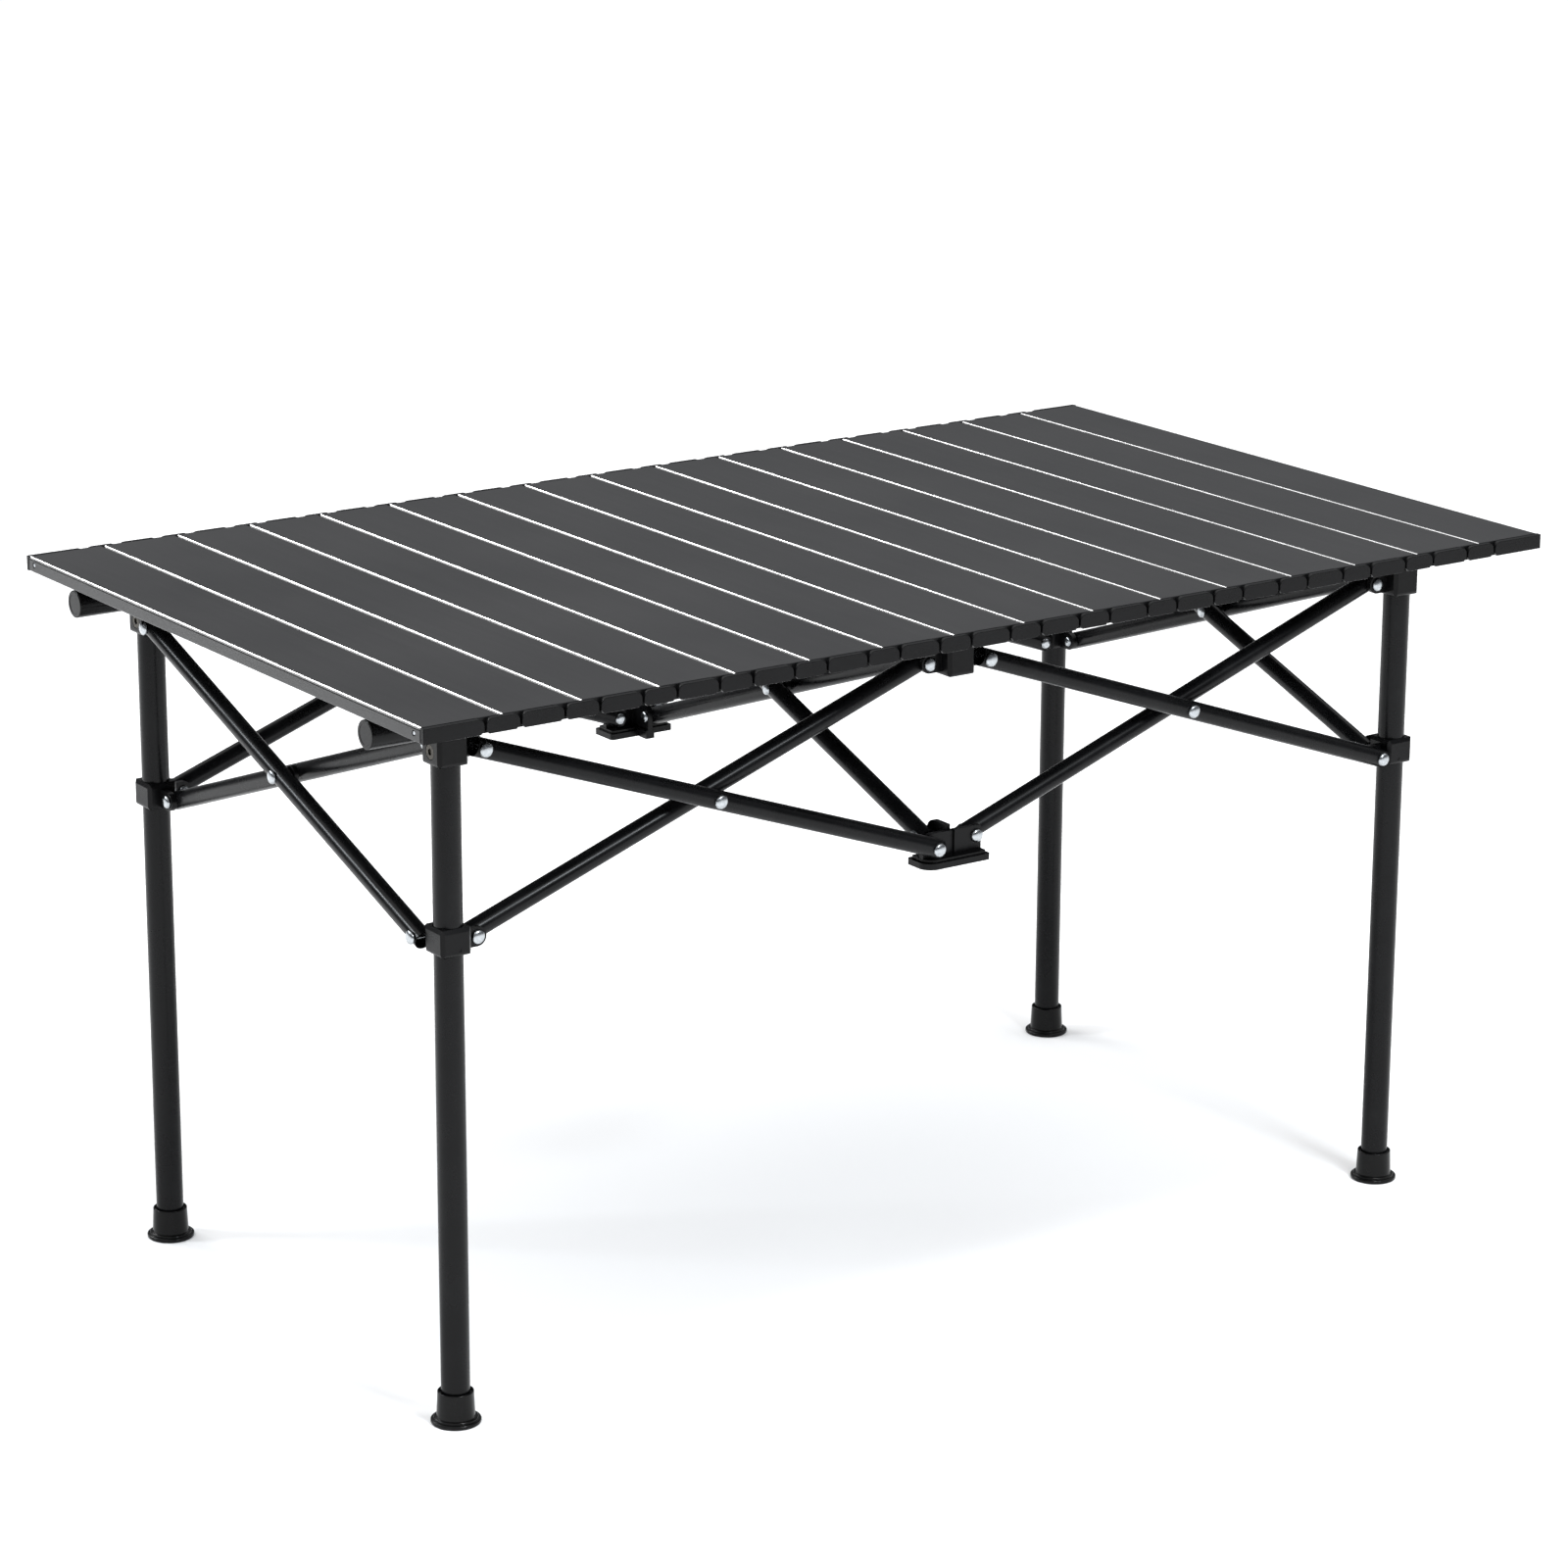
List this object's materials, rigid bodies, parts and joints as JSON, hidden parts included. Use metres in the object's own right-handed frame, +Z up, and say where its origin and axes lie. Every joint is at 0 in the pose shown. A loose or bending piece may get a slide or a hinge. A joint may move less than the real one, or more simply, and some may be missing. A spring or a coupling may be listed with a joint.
{
  "type": "folding picnic table",
  "caption": "Low rectangular folding table with a roll-up slatted top resting on two rails, carried by an accordion frame of crossed bars on four tube legs.",
  "frame": {"origin": "on the floor under the middle of the tabletop", "axes": "+X along the length of the table to the right, +Y to the back, +Z up"},
  "size_m": [1.1664, 0.684, 0.627],
  "materials": {
    "slat_metal": "satin dark grey coating",
    "bright_metal": "zinc plated",
    "black_tube": "satin black powder coat",
    "screw_metal": "dark plated",
    "foot_plastic": "smooth black",
    "joint_plastic": "fine moulded black"
  },
  "bodies": {
    "front_center_block": {"front_center_block": "joint_plastic"},
    "front_hub": {"front_hub": "joint_plastic"},
    "front_rail": {"front_rail": "black_tube", "front_rail_plugs": "foot_plastic"},
    "back_center_block": {"back_center_block": "joint_plastic"},
    "back_hub": {"back_hub": "joint_plastic"},
    "back_rail": {"back_rail": "black_tube", "back_rail_plugs": "foot_plastic"},
    "front_left_leg": {"front_left_leg": "black_tube", "front_left_foot": "foot_plastic", "front_left_leg_top": "joint_plastic", "front_left_screw": "screw_metal"},
    "front_left_slider": {"front_left_slider": "joint_plastic"},
    "front_right_leg": {"front_right_leg": "black_tube", "front_right_foot": "foot_plastic", "front_right_leg_top": "joint_plastic", "front_right_screw": "screw_metal"},
    "front_right_slider": {"front_right_slider": "joint_plastic"},
    "back_left_leg": {"back_left_leg": "black_tube", "back_left_foot": "foot_plastic", "back_left_leg_top": "joint_plastic", "back_left_screw": "screw_metal"},
    "back_left_slider": {"back_left_slider": "joint_plastic"},
    "back_right_leg": {"back_right_leg": "black_tube", "back_right_foot": "foot_plastic", "back_right_leg_top": "joint_plastic", "back_right_screw": "screw_metal"},
    "back_right_slider": {"back_right_slider": "joint_plastic"},
    "front_left_outer_bar": {"front_left_outer_bar": "black_tube"},
    "front_left_inner_bar": {"front_left_inner_bar": "black_tube"},
    "front_right_outer_bar": {"front_right_outer_bar": "black_tube"},
    "front_right_inner_bar": {"front_right_inner_bar": "black_tube"},
    "back_left_outer_bar": {"back_left_outer_bar": "black_tube"},
    "back_left_inner_bar": {"back_left_inner_bar": "black_tube"},
    "back_right_outer_bar": {"back_right_outer_bar": "black_tube"},
    "back_right_inner_bar": {"back_right_inner_bar": "black_tube"},
    "left_side_outer_bar": {"left_side_outer_bar": "black_tube"},
    "left_side_inner_bar": {"left_side_inner_bar": "black_tube"},
    "right_side_outer_bar": {"right_side_outer_bar": "black_tube"},
    "right_side_inner_bar": {"right_side_inner_bar": "black_tube"},
    "middle_outer_bar": {"middle_outer_bar": "black_tube"},
    "middle_inner_bar": {"middle_inner_bar": "black_tube"},
    "slat_01": {"slat_01": "slat_metal", "left_edge_rivets": "bright_metal"},
    "slat_02": {"slat_02": "slat_metal"},
    "slat_03": {"slat_03": "slat_metal"},
    "slat_04": {"slat_04": "slat_metal"},
    "slat_05": {"slat_05": "slat_metal"},
    "slat_06": {"slat_06": "slat_metal"},
    "slat_07": {"slat_07": "slat_metal"},
    "slat_08": {"slat_08": "slat_metal"},
    "slat_09": {"slat_09": "slat_metal"},
    "slat_10": {"slat_10": "slat_metal"},
    "slat_11": {"slat_11": "slat_metal"},
    "slat_12": {"slat_12": "slat_metal"},
    "slat_13": {"slat_13": "slat_metal"},
    "slat_14": {"slat_14": "slat_metal"},
    "slat_15": {"slat_15": "slat_metal"},
    "slat_16": {"slat_16": "slat_metal", "right_edge_rivets": "bright_metal"}
  },
  "joints": [
    {"name": "frame_fold", "type": "hinge", "parent": "front_center_block", "child": "front_left_inner_bar", "pos_m": [-0.034, -0.25115, 0.578], "axis": [0, -1, 0], "range_deg": [0, 64.4]},
    {"name": "front_left_crossing", "type": "hinge", "parent": "front_left_inner_bar", "child": "front_left_outer_bar", "pos_m": [-0.25915, -0.25115, 0.49783], "axis": [0, 1, 0], "range_deg": [0, 128.8]},
    {"name": "front_left_leg_pivot", "type": "hinge", "parent": "front_left_outer_bar", "child": "front_left_leg", "pos_m": [-0.4843, -0.25115, 0.578], "axis": [0, -1, 0], "range_deg": [0, 64.4]},
    {"name": "front_hub_pivot", "type": "hinge", "parent": "front_left_outer_bar", "child": "front_hub", "pos_m": [-0.034, -0.25115, 0.41765], "axis": [0, -1, 0], "range_deg": [0, 64.4]},
    {"name": "front_left_slider_pivot", "type": "hinge", "parent": "front_left_inner_bar", "child": "front_left_slider", "pos_m": [-0.4843, -0.25115, 0.41765], "axis": [0, 1, 0], "range_deg": [0, 64.4]},
    {"name": "front_right_bar_pivot", "type": "hinge", "parent": "front_center_block", "child": "front_right_outer_bar", "pos_m": [0.018, -0.25115, 0.578], "axis": [0, 1, 0], "range_deg": [0, 64.4]},
    {"name": "front_right_crossing", "type": "hinge", "parent": "front_right_outer_bar", "child": "front_right_inner_bar", "pos_m": [0.24315, -0.25115, 0.49783], "axis": [0, -1, 0], "range_deg": [0, 128.8]},
    {"name": "front_right_leg_pivot", "type": "hinge", "parent": "front_right_inner_bar", "child": "front_right_leg", "pos_m": [0.4683, -0.25115, 0.578], "axis": [0, 1, 0], "range_deg": [0, 64.4]},
    {"name": "front_right_slider_pivot", "type": "hinge", "parent": "front_right_outer_bar", "child": "front_right_slider", "pos_m": [0.4683, -0.25115, 0.41765], "axis": [0, -1, 0], "range_deg": [0, 64.4]},
    {"name": "middle_bar_pivot", "type": "hinge", "parent": "front_center_block", "child": "middle_outer_bar", "pos_m": [-0.008, -0.22515, 0.578], "axis": [-1, 0, 0], "range_deg": [0, 64.4]},
    {"name": "middle_crossing", "type": "hinge", "parent": "middle_outer_bar", "child": "middle_inner_bar", "pos_m": [-0.008, 0, 0.49783], "axis": [1, 0, 0], "range_deg": [0, 128.8]},
    {"name": "back_center_pivot", "type": "hinge", "parent": "middle_inner_bar", "child": "back_center_block", "pos_m": [-0.008, 0.22515, 0.578], "axis": [-1, 0, 0], "range_deg": [0, 64.4]},
    {"name": "back_hub_pivot", "type": "hinge", "parent": "middle_outer_bar", "child": "back_hub", "pos_m": [-0.008, 0.22515, 0.41765], "axis": [1, 0, 0], "range_deg": [0, 64.4]},
    {"name": "back_right_bar_pivot", "type": "hinge", "parent": "back_center_block", "child": "back_right_inner_bar", "pos_m": [0.018, 0.25115, 0.578], "axis": [0, 1, 0], "range_deg": [0, 64.4]},
    {"name": "back_right_crossing", "type": "hinge", "parent": "back_right_inner_bar", "child": "back_right_outer_bar", "pos_m": [0.24315, 0.25115, 0.49783], "axis": [0, -1, 0], "range_deg": [0, 128.8]},
    {"name": "back_right_leg_pivot", "type": "hinge", "parent": "back_right_outer_bar", "child": "back_right_leg", "pos_m": [0.4683, 0.25115, 0.578], "axis": [0, 1, 0], "range_deg": [0, 64.4]},
    {"name": "back_right_slider_pivot", "type": "hinge", "parent": "back_right_inner_bar", "child": "back_right_slider", "pos_m": [0.4683, 0.25115, 0.41765], "axis": [0, -1, 0], "range_deg": [0, 64.4]},
    {"name": "back_left_bar_pivot", "type": "hinge", "parent": "back_center_block", "child": "back_left_outer_bar", "pos_m": [-0.034, 0.25115, 0.578], "axis": [0, -1, 0], "range_deg": [0, 64.4]},
    {"name": "back_left_crossing", "type": "hinge", "parent": "back_left_outer_bar", "child": "back_left_inner_bar", "pos_m": [-0.25915, 0.25115, 0.49783], "axis": [0, 1, 0], "range_deg": [0, 128.8]},
    {"name": "back_left_leg_pivot", "type": "hinge", "parent": "back_left_inner_bar", "child": "back_left_leg", "pos_m": [-0.4843, 0.25115, 0.578], "axis": [0, -1, 0], "range_deg": [0, 64.4]},
    {"name": "back_left_slider_pivot", "type": "hinge", "parent": "back_left_outer_bar", "child": "back_left_slider", "pos_m": [-0.4843, 0.25115, 0.41765], "axis": [0, 1, 0], "range_deg": [0, 64.4]},
    {"name": "left_side_bar_pivot", "type": "hinge", "parent": "front_left_leg", "child": "left_side_inner_bar", "pos_m": [-0.5103, -0.22515, 0.578], "axis": [-1, 0, 0], "range_deg": [0, 64.4]},
    {"name": "left_side_crossing", "type": "hinge", "parent": "left_side_inner_bar", "child": "left_side_outer_bar", "pos_m": [-0.5103, 0, 0.49783], "axis": [1, 0, 0], "range_deg": [0, 128.8]},
    {"name": "right_side_bar_pivot", "type": "hinge", "parent": "front_right_leg", "child": "right_side_outer_bar", "pos_m": [0.4943, -0.22515, 0.578], "axis": [-1, 0, 0], "range_deg": [0, 64.4]},
    {"name": "right_side_crossing", "type": "hinge", "parent": "right_side_outer_bar", "child": "right_side_inner_bar", "pos_m": [0.4943, 0, 0.49783], "axis": [1, 0, 0], "range_deg": [0, 128.8]},
    {"name": "top_lift", "type": "slide", "parent": "front_center_block", "child": "slat_16", "axis": [0, 0, 1], "range_m": [0, 0.35]},
    {"name": "front_rail_lift", "type": "slide", "parent": "front_center_block", "child": "front_rail", "axis": [0, 0, 1], "range_m": [0, 0.07]},
    {"name": "back_rail_lift", "type": "slide", "parent": "back_center_block", "child": "back_rail", "axis": [0, 0, 1], "range_m": [0, 0.07]},
    {"name": "top_roll", "type": "hinge", "parent": "slat_16", "child": "slat_15", "pos_m": [0.511, 0, 0.6244], "axis": [0, 1, 0], "range_deg": [0, 35.2]},
    {"name": "seam_14", "type": "hinge", "parent": "slat_15", "child": "slat_14", "pos_m": [0.438, 0, 0.6244], "axis": [0, 1, 0], "range_deg": [0, 35.98]},
    {"name": "seam_13", "type": "hinge", "parent": "slat_14", "child": "slat_13", "pos_m": [0.365, 0, 0.6244], "axis": [0, 1, 0], "range_deg": [0, 36.82]},
    {"name": "seam_12", "type": "hinge", "parent": "slat_13", "child": "slat_12", "pos_m": [0.292, 0, 0.6244], "axis": [0, 1, 0], "range_deg": [0, 37.73]},
    {"name": "seam_11", "type": "hinge", "parent": "slat_12", "child": "slat_11", "pos_m": [0.219, 0, 0.6244], "axis": [0, 1, 0], "range_deg": [0, 38.76]},
    {"name": "seam_10", "type": "hinge", "parent": "slat_11", "child": "slat_10", "pos_m": [0.146, 0, 0.6244], "axis": [0, 1, 0], "range_deg": [0, 39.85]},
    {"name": "seam_09", "type": "hinge", "parent": "slat_10", "child": "slat_09", "pos_m": [0.073, 0, 0.6244], "axis": [0, 1, 0], "range_deg": [0, 41.01]},
    {"name": "seam_08", "type": "hinge", "parent": "slat_09", "child": "slat_08", "pos_m": [0, 0, 0.6244], "axis": [0, 1, 0], "range_deg": [0, 42.31]},
    {"name": "seam_07", "type": "hinge", "parent": "slat_08", "child": "slat_07", "pos_m": [-0.073, 0, 0.6244], "axis": [0, 1, 0], "range_deg": [0, 43.75]},
    {"name": "seam_06", "type": "hinge", "parent": "slat_07", "child": "slat_06", "pos_m": [-0.146, 0, 0.6244], "axis": [0, 1, 0], "range_deg": [0, 45.34]},
    {"name": "seam_05", "type": "hinge", "parent": "slat_06", "child": "slat_05", "pos_m": [-0.219, 0, 0.6244], "axis": [0, 1, 0], "range_deg": [0, 47.13]},
    {"name": "seam_04", "type": "hinge", "parent": "slat_05", "child": "slat_04", "pos_m": [-0.292, 0, 0.6244], "axis": [0, 1, 0], "range_deg": [0, 49.17]},
    {"name": "seam_03", "type": "hinge", "parent": "slat_04", "child": "slat_03", "pos_m": [-0.365, 0, 0.6244], "axis": [0, 1, 0], "range_deg": [0, 51.5]},
    {"name": "seam_02", "type": "hinge", "parent": "slat_03", "child": "slat_02", "pos_m": [-0.438, 0, 0.6244], "axis": [0, 1, 0], "range_deg": [0, 54.21]},
    {"name": "seam_01", "type": "hinge", "parent": "slat_02", "child": "slat_01", "pos_m": [-0.511, 0, 0.6244], "axis": [0, 1, 0], "range_deg": [0, 56.99]}
  ],
  "couplings": [
    {"joint": "front_left_crossing", "follows": "frame_fold", "ratio": 2},
    {"joint": "front_left_leg_pivot", "follows": "frame_fold", "ratio": 1},
    {"joint": "front_hub_pivot", "follows": "frame_fold", "ratio": 1},
    {"joint": "front_left_slider_pivot", "follows": "frame_fold", "ratio": 1},
    {"joint": "front_right_bar_pivot", "follows": "frame_fold", "ratio": 1},
    {"joint": "front_right_crossing", "follows": "frame_fold", "ratio": 2},
    {"joint": "front_right_leg_pivot", "follows": "frame_fold", "ratio": 1},
    {"joint": "front_right_slider_pivot", "follows": "frame_fold", "ratio": 1},
    {"joint": "middle_bar_pivot", "follows": "frame_fold", "ratio": 1},
    {"joint": "middle_crossing", "follows": "frame_fold", "ratio": 2},
    {"joint": "back_center_pivot", "follows": "frame_fold", "ratio": 1},
    {"joint": "back_hub_pivot", "follows": "frame_fold", "ratio": 1},
    {"joint": "back_right_bar_pivot", "follows": "frame_fold", "ratio": 1},
    {"joint": "back_right_crossing", "follows": "frame_fold", "ratio": 2},
    {"joint": "back_right_leg_pivot", "follows": "frame_fold", "ratio": 1},
    {"joint": "back_right_slider_pivot", "follows": "frame_fold", "ratio": 1},
    {"joint": "back_left_bar_pivot", "follows": "frame_fold", "ratio": 1},
    {"joint": "back_left_crossing", "follows": "frame_fold", "ratio": 2},
    {"joint": "back_left_leg_pivot", "follows": "frame_fold", "ratio": 1},
    {"joint": "back_left_slider_pivot", "follows": "frame_fold", "ratio": 1},
    {"joint": "left_side_bar_pivot", "follows": "frame_fold", "ratio": 1},
    {"joint": "left_side_crossing", "follows": "frame_fold", "ratio": 2},
    {"joint": "right_side_bar_pivot", "follows": "frame_fold", "ratio": 1},
    {"joint": "right_side_crossing", "follows": "frame_fold", "ratio": 2},
    {"joint": "front_rail_lift", "follows": "top_lift", "ratio": 0.2},
    {"joint": "back_rail_lift", "follows": "top_lift", "ratio": 0.2},
    {"joint": "seam_14", "follows": "top_roll", "ratio": 1.022},
    {"joint": "seam_13", "follows": "top_roll", "ratio": 1.046},
    {"joint": "seam_12", "follows": "top_roll", "ratio": 1.072},
    {"joint": "seam_11", "follows": "top_roll", "ratio": 1.101},
    {"joint": "seam_10", "follows": "top_roll", "ratio": 1.132},
    {"joint": "seam_09", "follows": "top_roll", "ratio": 1.165},
    {"joint": "seam_08", "follows": "top_roll", "ratio": 1.202},
    {"joint": "seam_07", "follows": "top_roll", "ratio": 1.243},
    {"joint": "seam_06", "follows": "top_roll", "ratio": 1.288},
    {"joint": "seam_05", "follows": "top_roll", "ratio": 1.339},
    {"joint": "seam_04", "follows": "top_roll", "ratio": 1.397},
    {"joint": "seam_03", "follows": "top_roll", "ratio": 1.463},
    {"joint": "seam_02", "follows": "top_roll", "ratio": 1.54},
    {"joint": "seam_01", "follows": "top_roll", "ratio": 1.619}
  ]
}
